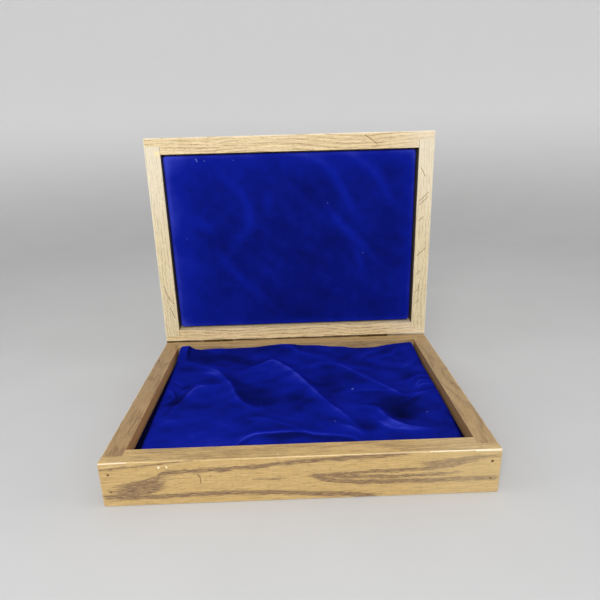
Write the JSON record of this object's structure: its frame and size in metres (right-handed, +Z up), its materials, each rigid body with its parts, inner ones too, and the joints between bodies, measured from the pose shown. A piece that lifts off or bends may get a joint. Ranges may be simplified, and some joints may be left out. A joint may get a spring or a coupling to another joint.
{
  "type": "coin display tray",
  "caption": "Shallow oak display box with a hinged lid that stands open, lined in its base and lid with padded blue velvet.",
  "frame": {"origin": "centre of the base's underside", "axes": "+X to the user's right along the width, +Y towards the hinged back, +Z up; the lid stands open at rest"},
  "size_m": [0.35, 0.285, 0.3079],
  "materials": {
    "base_front_oak": "satin",
    "base_back_oak": "satin",
    "base_side_oak": "satin",
    "lid_oak": "satin",
    "oak_veneer": "satin",
    "plywood": "matte",
    "blue_velvet": "matte",
    "foam": "matte",
    "card": "matte",
    "brass": "satin",
    "steel_nail": "satin"
  },
  "bodies": {
    "base": {"base_front_board": "base_front_oak", "base_back_board": "base_back_oak", "base_left_board": "base_side_oak", "base_right_board": "base_side_oak", "base_bottom_panel": "plywood", "base_front_brads": "steel_nail", "base_back_brads": "steel_nail", "bottom_panel_brads": "steel_nail", "base_foam_pad": "foam", "base_velvet": "blue_velvet", "left_hinge_base_leaf": "brass", "left_hinge_pin": "brass", "left_hinge_base_screws": "brass", "right_hinge_base_leaf": "brass", "right_hinge_pin": "brass", "right_hinge_base_screws": "brass"},
    "lid": {"lid_front_board": "lid_oak", "lid_back_board": "lid_oak", "lid_left_board": "lid_oak", "lid_right_board": "lid_oak", "lid_top_panel": "oak_veneer", "lid_front_brads": "steel_nail", "lid_back_brads": "steel_nail", "lid_pad_card": "card", "lid_pad_foam": "foam", "lid_velvet": "blue_velvet", "left_hinge_lid_leaf": "brass", "left_hinge_lid_screws": "brass", "right_hinge_lid_leaf": "brass", "right_hinge_lid_screws": "brass"}
  },
  "joints": [
    {"name": "lid_hinge", "type": "hinge", "parent": "base", "child": "lid", "pos_m": [0, 0.1308, 0.04515], "axis": [1, 0, 0], "range_deg": [0, 90]}
  ]
}
